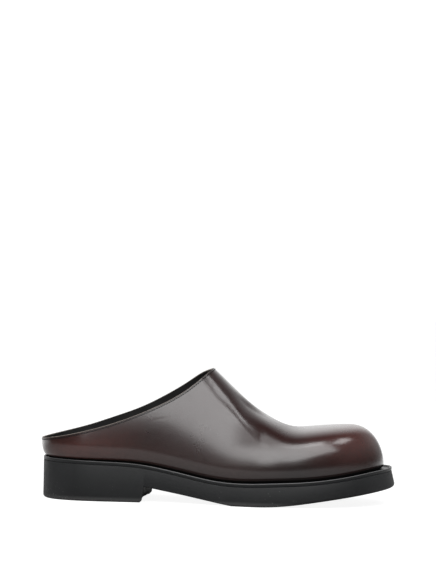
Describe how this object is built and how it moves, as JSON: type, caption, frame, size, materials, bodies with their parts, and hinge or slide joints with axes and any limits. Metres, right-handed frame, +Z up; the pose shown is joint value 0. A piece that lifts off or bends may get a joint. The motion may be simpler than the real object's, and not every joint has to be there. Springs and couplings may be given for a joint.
{
  "type": "mule shoe",
  "caption": "Slip-on leather mule for the right foot: whole-cut upper with a low back, round toe, rubber sole with a moulded heel.",
  "frame": {"origin": "on the floor, under the middle of the shoe's length and width", "axes": "+X towards the toe, +Y towards the inner side of the foot, +Z up"},
  "size_m": [0.3032, 0.1103, 0.113],
  "materials": {
    "sole_rubber": "matte black rubber",
    "welt_rubber": "satin black rubber",
    "upper_leather": "burnished, polished dark brown leather",
    "insole_sock": "matte black sock"
  },
  "bodies": {
    "root": {"outsole": "sole_rubber", "welt": "welt_rubber", "upper": "upper_leather", "insole": "insole_sock"}
  },
  "joints": []
}
